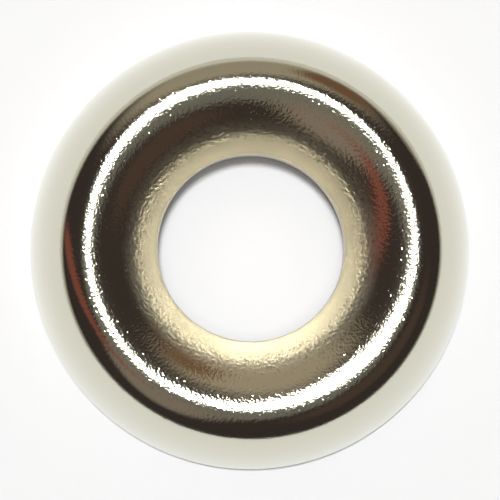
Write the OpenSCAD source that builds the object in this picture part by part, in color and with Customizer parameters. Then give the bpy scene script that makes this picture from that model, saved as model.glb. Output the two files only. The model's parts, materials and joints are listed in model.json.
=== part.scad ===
// Finishing cup washer for a countersunk screw: one ring of thin sheet, pressed into a raised round crest
// with a conical seat inside it. Millimetres; the origin is the middle of the seating plane, the axis is +Z.

/* [Overall] */
// Outside diameter of the rim
outside_d = 15.9; // [14:0.1:20]
// Height of the crest above the seating plane
height = 2.8; // [2.4:0.1:3.6]
// Thickness of the sheet
sheet_t = 0.6; // [0.4:0.05:0.8]

/* [Screw seat] */
// Diameter of the hole that the screw passes through
hole_d = 6.7; // [5.4:0.1:7.8]
// Included angle of the cone that the screw head sits in
seat_angle = 92; // [80:1:110]
// Height of the hole's lower edge above the seating plane
lip_lift = 0.7; // [0.3:0.05:1]
// Radius of the edge where the seat turns down into the hole
lip_r = 0.12; // [0.06:0.01:0.3]

/* [Crest and rim] */
// Bend radius on the show face between the seat and the top of the crest, as far as the seat allows
seat_bend_r = 2.75; // [1.6:0.05:3.5]
// Bend radius on the show face outside the top of the crest, as far as the width of the flank allows
crest_r = 1.3; // [0.9:0.05:1.8]
// Angle between the flank and the upright at the rim
rim_lean = 6.5; // [2:0.5:12]
// Radius of the sheared edges, at the rim and at the bottom of the hole
edge_r = 0.08; // [0.04:0.01:0.15]

/* [Hidden] */
$fn = 90;

// Furthest that a chord may lie inside its arc
arc_tolerance = 0.002;
// Most of the seat's length, and of the room outside it, that the seat bend may take up
seat_fill = 0.65;
// Most of the flank's width that the crest bend may take up
crest_fill = 0.9;
nickel = [0.80, 0.77, 0.68];

rim_r = outside_d / 2;
hole_r = hole_d / 2;
seat_slope = 90 - seat_angle / 2;
seat_normal = 90 + seat_slope;

// Centre of the rounded lower edge of the hole
hole_edge_c = [hole_r + edge_r, lip_lift + edge_r];
// Radius at which the seat, drawn on as a straight line, would reach the full height
corner_r = hole_edge_c[0]
    + (height - hole_edge_c[1]) / tan(seat_slope)
    - (sheet_t - edge_r) / sin(seat_slope);
// Centre of the rounded upper edge of the hole
lip_c = [hole_r + lip_r, seat_z(hole_r + lip_r, lip_r)];

// The seat bend rounds the corner between the seat and the level of the full height
corner_w = rim_r - corner_r;
corner_setback = tan(seat_slope / 2);
seat_run = (corner_r - hole_r) / cos(seat_slope);
seat_bend = min(seat_bend_r, seat_fill * min(seat_run, corner_w) / corner_setback);
top_r = corner_r + seat_bend * corner_setback;
seat_bend_c = [top_r, height - seat_bend];

// Outermost point of the rim, where its rounded edge meets the flank
rim_end = [rim_r, edge_r];
rim_normal = [cos(rim_lean), sin(rim_lean)];

// The flank is one arc that leaves the crest bend smoothly and leans by the given angle at the rim. On a
// washer wider than such an arc can span, the crest ends in a level land and the arc starts beyond it.
flank_rise = height - rim_end[1];
flank_w = min(rim_end[0] - top_r, flank_rise * rim_normal[0] / (1 - rim_normal[1]));
crest_room = flank_w * rim_normal[0] - flank_rise * rim_normal[1];
crest_bend = min(crest_r, crest_room / (1 / crest_fill - rim_normal[1]));
crest_c = [rim_end[0] - flank_w, height - crest_bend];
flank_reach = rim_end - crest_c;
flank_r = (flank_reach * flank_reach - crest_bend ^ 2) / (2 * (flank_reach * rim_normal - crest_bend));
flank_c = rim_end - flank_r * rim_normal;
shoulder = atan2(crest_c[1] - flank_c[1], crest_c[0] - flank_c[0]);

// Rounded inner edge of the rim
foot_r = flank_r - sheet_t + edge_r;
foot_lean = asin((edge_r - flank_c[1]) / foot_r);
foot_edge_c = [flank_c[0] + foot_r * cos(foot_lean), edge_r];

// Height, at radius r, of the cone that lies the given depth under the show face of the seat
function seat_z(r, depth) = height - (corner_r - r) * tan(seat_slope) - depth / cos(seat_slope);

// Points along an arc about c, both ends included
function arc(c, r, from, to) =
    let (steps = max(2, ceil(abs(to - from) / (2 * acos(1 - arc_tolerance / r)))))
    [for (i = [0:steps]) let (a = from + (to - from) * i / steps) c + r * [cos(a), sin(a)]];

// The same points without those that repeat the point before them, where one arc runs on into the next
function without_repeats(points) =
    [for (i = [0:len(points) - 1]) if (i == 0 || norm(points[i] - points[i - 1]) > arc_tolerance) points[i]];

// Half of the section, once around: up the outside, down the seat, through the hole and back underneath
function section() = without_repeats(concat(
    arc([rim_r - edge_r, edge_r], edge_r, 270, 360),
    arc(flank_c, flank_r, rim_lean, shoulder),
    arc(crest_c, crest_bend, shoulder, 90),
    arc(seat_bend_c, seat_bend, 90, seat_normal),
    arc(lip_c, lip_r, seat_normal, 180),
    arc(hole_edge_c, edge_r, 180, 270 + seat_slope),
    arc(seat_bend_c, seat_bend - sheet_t, seat_normal, 90),
    arc(crest_c, crest_bend - sheet_t, 90, shoulder),
    arc(flank_c, flank_r - sheet_t, shoulder, foot_lean),
    arc(foot_edge_c, edge_r, 180 + foot_lean, 270)
));

module cup_washer() {
    color(nickel) rotate_extrude() polygon(section());
}

cup_washer();
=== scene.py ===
import json
import math

import bpy
from mathutils import Matrix, Vector


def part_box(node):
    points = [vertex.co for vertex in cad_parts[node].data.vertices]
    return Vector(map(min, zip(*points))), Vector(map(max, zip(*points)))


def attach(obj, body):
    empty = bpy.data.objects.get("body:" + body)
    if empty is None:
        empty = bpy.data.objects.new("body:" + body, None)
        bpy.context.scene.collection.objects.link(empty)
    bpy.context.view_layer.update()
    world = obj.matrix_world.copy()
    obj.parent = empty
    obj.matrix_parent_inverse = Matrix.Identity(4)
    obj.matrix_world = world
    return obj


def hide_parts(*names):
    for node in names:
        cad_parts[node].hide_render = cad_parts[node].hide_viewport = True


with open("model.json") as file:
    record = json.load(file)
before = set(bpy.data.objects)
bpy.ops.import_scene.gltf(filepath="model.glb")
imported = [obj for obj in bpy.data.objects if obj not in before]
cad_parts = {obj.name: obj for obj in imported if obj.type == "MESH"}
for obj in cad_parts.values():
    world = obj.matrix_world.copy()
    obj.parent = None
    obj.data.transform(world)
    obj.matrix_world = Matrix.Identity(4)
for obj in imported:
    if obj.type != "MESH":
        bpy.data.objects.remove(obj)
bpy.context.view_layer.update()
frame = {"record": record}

MM = 0.001

# Sizes of the pressed section, as in the solid
NODE = "cup_washer"
SHEET_T = 0.6 * MM
SEAT_SLOPE = math.radians(44)
SEAT_BEND_R = 2.75 * MM
LIP_LIFT = 0.7 * MM
LIP_R = 0.12 * MM
CREST_R = 1.3 * MM
RIM_LEAN = math.radians(6.5)
EDGE_R = 0.08 * MM
LOW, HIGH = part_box(NODE)
RIM_R = (HIGH.x - LOW.x) / 2
HEIGHT = HIGH.z
HOLE_R = next(m["dims"]["r_mm"] for m in frame["record"]["mounts"] if m["name"] == "screw_hole") * MM

# How finely the sheet is meshed
AROUND = 480
SHOW_STEP = 0.08 * MM
BACK_STEP = 0.16 * MM
EDGE_STEPS = 5
FOOT_STEPS = 3

# Places across the sheet, from 0 at the rim to 1 at the hole
SHOULDER_AT = 0.25
TOP_AT = 0.5
SEAT_AT = 0.75
LIP_AT = 0.95

# Noises in the plate: cells to the metre and detail
PEBBLES = (10000, 1.0)
SPOTS = (8000, 0.0)
SMEARS = (420, 3.0)

# How the noises are read: the levels where a change starts and ends, and the values there
PIT_DEPTH = (0.7, 0.78, 0.0, -0.3)
# The pit shade darkens the base colour in the pits of the coarse zone: painted shade in the pits
PAINTED_PIT_SHADE = (0.6, 0.72, 1.0, 0.68)
SMEAR_SHARE = (0.3, 0.7, 0.93, 1.12)
GRAIN_DEPTH = 0.024 * MM

# Finish across the sheet, and the plate colour with painted light in it, as stops of a place and the value or
# colour there
COARSE = ((0.62, 0.0), (0.69, 1.0), (SEAT_AT, 1.0), (0.8, 0.0))
BUMPS = (
    (0.0, 0.03), (SHOULDER_AT, 0.05), (TOP_AT, 0.28), (0.6, 0.28),
    (0.67, 0.6), (SEAT_AT, 0.6), (0.82, 0.12), (1.0, 0.07),
)
ROUGHNESS = (
    (0.0, 0.1), (0.3, 0.09), (TOP_AT, 0.075), (0.62, 0.09),
    (0.69, 0.28), (0.74, 0.31), (LIP_AT, 0.31), (1.0, 0.42),
)
# Plate colour: the warm nickel hue is the plate's own, but the flank lighter towards the rim and the seat
# lighter towards the hole are painted reflection, and the dark lip and hole wall are painted shade
TINT_AND_PAINTED_LIGHT = (
    (0.0, (0.775, 0.775, 0.695)),
    (SHOULDER_AT, (0.69, 0.68, 0.57)),
    (0.76, (0.79, 0.735, 0.58)),
    (0.93, (0.88, 0.83, 0.66)),
    (1.0, (0.5, 0.47, 0.39)),
)

# Camera: width of the picture at the floor, distance, and lean in degrees towards +X and +Y
PICTURE_W = 18.135 * MM
CAMERA_D = 120 * MM
CAMERA_LEAN = (-1.7, -2.8)
CAMERA_NEAR = CAMERA_D / 10
# In millimetres, as Blender takes it
SENSOR_W = 36

# Floor
FLOOR_SIDE = 8
CARD = (0.94, 0.955, 0.97, 1)
CARD_ROUGHNESS = 0.9

# Lamps: clock and tilt of the middle, clock of the long side, half length and half width in degrees, watts
LAMP_D = 1.5
SOFT_BOX = (344, 10.8, 318, 11.5, 6, 1.45)
SPOT = (345, 10.4, 318, 6, 2.5, 13)
FILL = (348, 11, 0, 5, 5, 14.2)
SKY = (170, 2, 0, 20, 20, 4.6)

# Things in the room: clock, tilt, turn, half length and half width in degrees, colour
ROOM = (
    (190, 8, 0, 22, 22, (0.16, 0.16, 0.145)),
    (358, 54, 0, 40, 46, (0.37, 0.32, 0.25)),
    (28, 58, 0, 24, 14, (0.18, 0.10, 0.06)),
    (50, 78, 0, 14, 18, (0.24, 0.215, 0.175)),
    (214, 34, 0, 30, 18, (0.24, 0.20, 0.17)),
    (263, 47, -30, 46, 8, (0.23, 0.075, 0.055)),
    (130, 40, 0, 20, 30, (0.075, 0.05, 0.04)),
)
DIM = (0.042, 0.033, 0.03, 1)
# Share of a thing's reach, inwards from its outline, over which it fades in
FADE = 0.5

# Pale horizon: its colour, how high it reaches, and the clock and tilt of the way up for that height
HORIZON = (0.70, 0.68, 0.61, 1)
HORIZON_H = math.sin(math.radians(13))
HORIZON_UP = (180, 9)


def arc(centre, radius, start, end, steps):
    """Points along an arc in the half-plane of radius and height; angles in radians."""
    points = []
    for i in range(steps + 1):
        angle = start + (end - start) * i / steps
        points.append((centre[0] + radius * math.cos(angle), centre[1] + radius * math.sin(angle)))
    return points


def line(start, end, steps):
    """Points along a straight stretch, without its two ends."""
    return [tuple(a + (b - a) * i / steps for a, b in zip(start, end)) for i in range(1, steps)]


def steps_for(length, step):
    return max(2, round(length / step))


def even_arc(centre, radius, start, end, step):
    """An arc with its points about a step apart."""
    return arc(centre, radius, start, end, steps_for(radius * abs(end - start), step))


def even_line(start, end, step):
    """A straight stretch with its points about a step apart."""
    return line(start, end, steps_for(math.dist(start, end), step))


def joined(runs):
    """The points of all the runs in a row, and the place across the sheet of each point."""
    points, along = [], []
    for start, end, run in runs:
        for i, point in enumerate(run):
            points.append(point)
            along.append(start + (end - start) * i / max(1, len(run) - 1))
    return points, along


def section():
    """The closed outline of the sheet as radius and height, and the place across the sheet of each point."""
    up, half_turn, full_turn = math.pi / 2, math.pi, 2 * math.pi
    down = 3 * up
    seat_normal = up + SEAT_SLOPE
    edge_c = (HOLE_R + EDGE_R, LIP_LIFT + EDGE_R)
    seat_run = (HEIGHT - edge_c[1]) / math.tan(SEAT_SLOPE)
    corner_r = edge_c[0] + seat_run - (SHEET_T - EDGE_R) / math.sin(SEAT_SLOPE)
    crest_c = (corner_r + SEAT_BEND_R * math.tan(SEAT_SLOPE / 2), HEIGHT - CREST_R)
    bend_c = (crest_c[0], HEIGHT - SEAT_BEND_R)
    lip_z = HEIGHT - (corner_r - HOLE_R - LIP_R) * math.tan(SEAT_SLOPE) - LIP_R / math.cos(SEAT_SLOPE)
    lip_c = (HOLE_R + LIP_R, lip_z)
    lean = (math.cos(RIM_LEAN), math.sin(RIM_LEAN))
    rim = (RIM_R, EDGE_R)
    reach = (rim[0] - crest_c[0], rim[1] - crest_c[1])
    reach_out = reach[0] * lean[0] + reach[1] * lean[1]
    flank_r = (math.hypot(*reach) ** 2 - CREST_R ** 2) / (2 * (reach_out - CREST_R))
    flank_c = (rim[0] - flank_r * lean[0], rim[1] - flank_r * lean[1])
    shoulder = math.atan2(crest_c[1] - flank_c[1], crest_c[0] - flank_c[0])
    foot_r = flank_r - SHEET_T + EDGE_R
    foot_lean = math.asin((EDGE_R - flank_c[1]) / foot_r)
    foot_c = (flank_c[0] + foot_r * math.cos(foot_lean), EDGE_R)

    outer_edge = arc((RIM_R - EDGE_R, EDGE_R), EDGE_R, down, full_turn, EDGE_STEPS)
    flank = even_arc(flank_c, flank_r, RIM_LEAN, shoulder, SHOW_STEP)
    crest = even_arc(crest_c, CREST_R, shoulder, up, SHOW_STEP)
    bend = even_arc(bend_c, SEAT_BEND_R, up, seat_normal, SHOW_STEP)
    lip = arc(lip_c, LIP_R, seat_normal, half_turn, EDGE_STEPS)
    hole_edge = arc(edge_c, EDGE_R, half_turn, down + SEAT_SLOPE, EDGE_STEPS)
    back_bend = even_arc(bend_c, SEAT_BEND_R - SHEET_T, seat_normal, up, BACK_STEP)
    back_crest = even_arc(crest_c, CREST_R - SHEET_T, up, shoulder, BACK_STEP)
    back_flank = even_arc(flank_c, flank_r - SHEET_T, shoulder, foot_lean, BACK_STEP)
    inner_edge = arc(foot_c, EDGE_R, half_turn + foot_lean, down, EDGE_STEPS)

    seat = even_line(bend[-1], lip[0], SHOW_STEP)
    wall = even_line(lip[-1], hole_edge[0], BACK_STEP)
    back_seat = even_line(hole_edge[-1], back_bend[0], BACK_STEP)
    foot = line(inner_edge[-1], outer_edge[0], FOOT_STEPS)

    return joined((
        (0.0, 0.0, outer_edge),
        (0.0, SHOULDER_AT, flank[1:]),
        (SHOULDER_AT, TOP_AT, crest[1:]),
        (TOP_AT, SEAT_AT, bend[1:]),
        (SEAT_AT, LIP_AT, seat),
        (LIP_AT, 1.0, lip),
        (1.0, 1.0, wall),
        (1.0, 1.0, hole_edge),
        (1.0, SEAT_AT, back_seat),
        (SEAT_AT, TOP_AT, back_bend),
        (TOP_AT, SHOULDER_AT, back_crest[1:]),
        (SHOULDER_AT, 0.0, back_flank[1:]),
        (0.0, 0.0, inner_edge[1:]),
        (0.0, 0.0, foot),
    ))


def washer_mesh():
    """The section turned about +Z, with a UV map and the place across the sheet as a named attribute."""
    outline, along = section()
    count = len(outline)
    verts, across = [], []
    for j in range(AROUND):
        turn = 2 * math.pi * j / AROUND
        verts += [(r * math.cos(turn), r * math.sin(turn), z) for r, z in outline]
        across += along
    faces, uvs = [], []
    for j in range(AROUND):
        a, b = j * count, (j + 1) % AROUND * count
        left, right = j / AROUND, (j + 1) / AROUND
        for i in range(count):
            far = (i + 1) % count
            faces.append((a + i, b + i, b + far, a + far))
            bottom, top = i / count, (i + 1) / count
            uvs += [(left, bottom), (right, bottom), (right, top), (left, top)]
    mesh = bpy.data.meshes.new("pressed_washer")
    mesh.from_pydata(verts, [], faces)
    layer = mesh.uv_layers.new(name="OFBake")
    for loop, uv in zip(layer.data, uvs):
        loop.uv = uv
    mesh.attributes.new("across", "FLOAT", "POINT").data.foreach_set("value", across)
    mesh.shade_smooth()
    mesh.update()
    return mesh


def node(tree, kind, inputs=None, **settings):
    """A new node with its settings made, and its inputs set to a value or linked to another node's output."""
    made = tree.nodes.new(kind)
    for name, value in settings.items():
        setattr(made, name, value)
    for name, value in (inputs or {}).items():
        if isinstance(value, bpy.types.NodeSocket):
            tree.links.new(value, made.inputs[name])
        else:
            made.inputs[name].default_value = value
    return made


def noise(tree, place, scale, detail):
    made = node(tree, "ShaderNodeTexNoise", {"Vector": place, "Scale": scale, "Detail": detail})
    return made.outputs["Fac"]


def remap(tree, value, low, high, to_low, to_high, kind="LINEAR"):
    """A value moved from one range to another, and held at the ends."""
    made = node(tree, "ShaderNodeMapRange", {
        "Value": value, "From Min": low, "From Max": high, "To Min": to_low, "To Max": to_high,
    }, interpolation_type=kind)
    return made.outputs["Result"]


def mix(tree, share, first, second, **settings):
    """Two values or colours, mixed by the second one's share."""
    made = node(tree, "ShaderNodeMix", {"Factor": share, "A": first, "B": second}, **settings)
    return made.outputs["Result"]


def ramp(tree, value, stops):
    """A smooth ramp through (place, value or colour) stops."""
    made = node(tree, "ShaderNodeValToRGB", {"Fac": value})
    made.color_ramp.interpolation = "EASE"
    elements = made.color_ramp.elements
    for _ in range(len(stops) - 2):
        elements.new(0.5)
    for element, (place, colour) in zip(elements, stops):
        element.position = place
        element.color = (*colour, 1) if isinstance(colour, tuple) else (colour, colour, colour, 1)
    return made.outputs["Color"]


def nickel():
    """Bright warm nickel plate over pressed brass: pebbled by the pressing, satin towards the hole."""
    mat = bpy.data.materials.new("nickel_plate")
    mat.use_nodes = True
    tree = mat.node_tree
    shader = tree.nodes["Principled BSDF"]
    place = node(tree, "ShaderNodeTexCoord").outputs["Object"]
    across = node(tree, "ShaderNodeAttribute", attribute_name="across").outputs["Fac"]
    pebbles = noise(tree, place, *PEBBLES)
    spots = noise(tree, place, *SPOTS)
    smears = noise(tree, place, *SMEARS)

    coarse = ramp(tree, across, COARSE)
    lumps = mix(tree, coarse, pebbles, spots)
    pits = remap(tree, spots, *PIT_DEPTH, kind="SMOOTHSTEP")
    height = node(tree, "ShaderNodeMath", {0: lumps, 1: pits}, operation="ADD").outputs["Value"]
    bumps = ramp(tree, across, BUMPS)
    grain = node(tree, "ShaderNodeBump", {"Strength": bumps, "Distance": GRAIN_DEPTH, "Height": height})

    polish = ramp(tree, across, ROUGHNESS)
    patchy = remap(tree, smears, *SMEAR_SHARE)
    rough = node(tree, "ShaderNodeMath", {0: polish, 1: patchy}, operation="MULTIPLY")

    # Base colour across the sheet, with painted reflection on the flank and the seat and painted shade on the
    # lip and hole wall
    tint_and_painted_light = ramp(tree, across, TINT_AND_PAINTED_LIGHT)
    # Painted shade: the base colour is made darker in the pits of the coarse zone
    pit_painted_shade = remap(tree, spots, *PAINTED_PIT_SHADE)
    colour_with_painted_light = mix(tree, coarse, tint_and_painted_light, pit_painted_shade, data_type="RGBA", blend_type="MULTIPLY")

    shader.inputs["Metallic"].default_value = 1.0
    tree.links.new(colour_with_painted_light, shader.inputs["Base Color"])
    tree.links.new(rough.outputs["Value"], shader.inputs["Roughness"])
    tree.links.new(grain.outputs["Normal"], shader.inputs["Normal"])
    return mat


def card():
    """White card with no shine."""
    mat = bpy.data.materials.new("white_card")
    mat.use_nodes = True
    shader = mat.node_tree.nodes["Principled BSDF"]
    shader.inputs["Base Color"].default_value = CARD
    shader.inputs["Roughness"].default_value = CARD_ROUGHNESS
    shader.inputs["Specular IOR Level"].default_value = 0.0
    return mat


def toward(clock, tilt):
    """The way to a clock angle, clockwise from +Y seen from above, at a tilt from straight up, in degrees."""
    clock, tilt = math.radians(clock), math.radians(tilt)
    return Vector((math.sin(clock) * math.sin(tilt), math.cos(clock) * math.sin(tilt), math.cos(tilt)))


def patch(tree, place, behind, clock, tilt, turn, half_long, half_wide, colour):
    """One soft-edged thing in the room, mixed over the colour behind it."""
    out = toward(clock, tilt)
    down = toward(clock, tilt + 90)
    spin = Matrix((down, out.cross(down), out)).transposed() @ Matrix.Rotation(math.radians(turn), 3, "Z")
    size = (math.sin(math.radians(half_long)), math.sin(math.radians(half_wide)), 1)
    local = node(tree, "ShaderNodeMapping", {
        "Vector": place, "Location": out, "Rotation": spin.to_euler(), "Scale": size,
    }, vector_type="TEXTURE")
    ball = node(tree, "ShaderNodeTexGradient", {"Vector": local.outputs["Vector"]}, gradient_type="SPHERICAL")
    mask = remap(tree, ball.outputs["Fac"], 0.0, FADE, 0.0, 1.0, kind="SMOOTHSTEP")
    return mix(tree, mask, behind, (*colour, 1), data_type="RGBA")


def room():
    """A dim warm room, which the polished metal shows as its dark bands, paler towards the horizon."""
    world = bpy.data.worlds.new("room")
    bpy.context.scene.world = world
    world.use_nodes = True
    tree = world.node_tree
    place = node(tree, "ShaderNodeTexCoord").outputs["Generated"]
    colour = DIM
    for thing in ROOM:
        colour = patch(tree, place, colour, *thing)
    height = node(tree, "ShaderNodeVectorMath", {0: place, 1: toward(*HORIZON_UP)}, operation="DOT_PRODUCT")
    low = remap(tree, height.outputs["Value"], HORIZON_H, 0.0, 0.0, 1.0, kind="SMOOTHSTEP")
    colour = mix(tree, low, colour, HORIZON, data_type="RGBA")
    tree.links.new(colour, tree.nodes["Background"].inputs["Color"])


def lamp(name, clock, tilt, long_clock, half_long, half_wide, power):
    """An oval area lamp that faces the middle of the floor."""
    light = bpy.data.lights.new(name, "AREA")
    light.shape = "ELLIPSE"
    light.size = 2 * LAMP_D * math.tan(math.radians(half_long))
    light.size_y = 2 * LAMP_D * math.tan(math.radians(half_wide))
    light.energy = power
    made = bpy.data.objects.new(name, light)
    away = toward(clock, tilt)
    long_way = toward(long_clock, 90)
    long_way = (long_way - long_way.dot(away) * away).normalized()
    turn = Matrix((long_way, away.cross(long_way), away)).transposed().to_4x4()
    made.matrix_world = Matrix.Translation(away * LAMP_D) @ turn
    bpy.context.scene.collection.objects.link(made)
    return made


def camera():
    """Almost straight down, with 12 o'clock of the picture along +Y."""
    lens = bpy.data.cameras.new("camera")
    lens.sensor_width = SENSOR_W
    lens.lens = SENSOR_W * CAMERA_D / PICTURE_W
    lens.clip_start = CAMERA_NEAR
    made = bpy.data.objects.new("camera", lens)
    lean_x, lean_y = (math.tan(math.radians(lean)) for lean in CAMERA_LEAN)
    back = Vector((lean_x, lean_y, 1)).normalized()
    right = Vector((0, 1, 0)).cross(back).normalized()
    turn = Matrix((right, back.cross(right), back)).transposed().to_4x4()
    made.matrix_world = Matrix.Translation(back * CAMERA_D) @ turn
    bpy.context.scene.collection.objects.link(made)
    bpy.context.scene.camera = made


def floor():
    half = FLOOR_SIDE / 2
    corners = [(-half, -half, 0), (half, -half, 0), (half, half, 0), (-half, half, 0)]
    mesh = bpy.data.meshes.new("floor")
    mesh.from_pydata(corners, [], [(0, 1, 2, 3)])
    mesh.materials.append(card())
    made = bpy.data.objects.new("floor", mesh)
    bpy.context.scene.collection.objects.link(made)


def washer():
    mesh = washer_mesh()
    mesh.materials.append(nickel())
    made = bpy.data.objects.new("pressed_washer", mesh)
    bpy.context.scene.collection.objects.link(made)
    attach(made, "root")
    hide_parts(NODE)


bpy.context.scene.view_settings.view_transform = "Standard"
room()
lamp("soft_box", *SOFT_BOX)
lamp("spot", *SPOT).visible_diffuse = False
lamp("fill", *FILL).visible_glossy = False
lamp("sky", *SKY).visible_glossy = False
camera()
floor()
washer()
